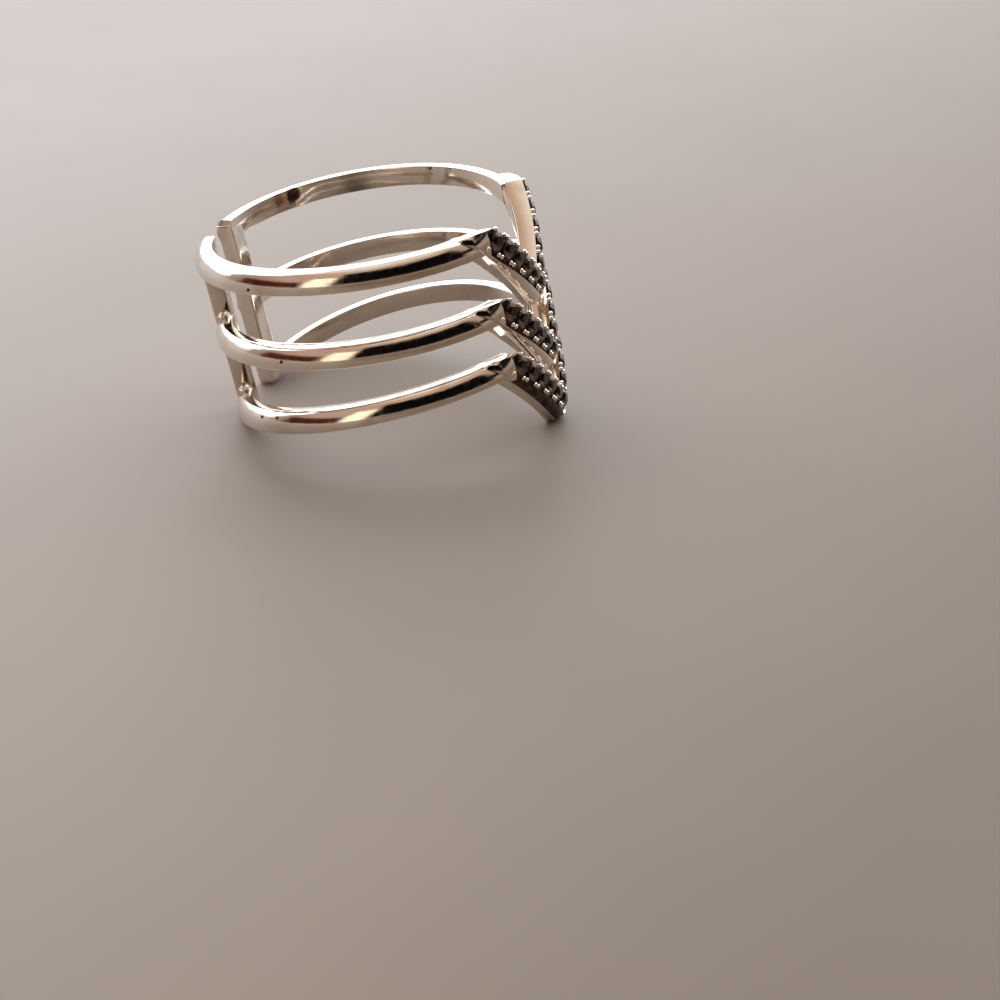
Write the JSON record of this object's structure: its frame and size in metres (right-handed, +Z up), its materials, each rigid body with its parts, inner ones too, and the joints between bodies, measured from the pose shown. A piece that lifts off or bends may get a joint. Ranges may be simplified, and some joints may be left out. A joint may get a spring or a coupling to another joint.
{
  "type": "open-backed triple band ring with stone-set V fronts",
  "caption": "Silver finger ring of stacked bands, open at the back, each with a downward V at the front set with a row of small smoky stones.",
  "frame": {"origin": "on the surface that the ring lies on, under the middle of its outer box", "axes": "+Z up from that surface; -Y towards the V fronts, +Y towards the open back; X across the finger hole. The finger hole's axis leans back from +Z by 10 degrees"},
  "size_m": [0.0196, 0.0218, 0.0134],
  "materials": {
    "silver": "polished silver with light wear and casting pits",
    "smoky_stone": "cut and polished dark grey-brown stone"
  },
  "bodies": {
    "root": {"silver_ring": "silver", "upper_stone_01": "smoky_stone", "upper_stone_02": "smoky_stone", "upper_stone_03": "smoky_stone", "upper_stone_04": "smoky_stone", "upper_stone_05": "smoky_stone", "upper_stone_06": "smoky_stone", "upper_stone_07": "smoky_stone", "upper_stone_08": "smoky_stone", "upper_stone_09": "smoky_stone", "upper_stone_10": "smoky_stone", "upper_stone_11": "smoky_stone", "middle_stone_01": "smoky_stone", "middle_stone_02": "smoky_stone", "middle_stone_03": "smoky_stone", "middle_stone_04": "smoky_stone", "middle_stone_05": "smoky_stone", "middle_stone_06": "smoky_stone", "middle_stone_07": "smoky_stone", "middle_stone_08": "smoky_stone", "middle_stone_09": "smoky_stone", "middle_stone_10": "smoky_stone", "middle_stone_11": "smoky_stone", "lower_stone_01": "smoky_stone", "lower_stone_02": "smoky_stone", "lower_stone_03": "smoky_stone", "lower_stone_04": "smoky_stone", "lower_stone_05": "smoky_stone", "lower_stone_06": "smoky_stone", "lower_stone_07": "smoky_stone", "lower_stone_08": "smoky_stone", "lower_stone_09": "smoky_stone", "lower_stone_10": "smoky_stone", "lower_stone_11": "smoky_stone"}
  },
  "joints": []
}
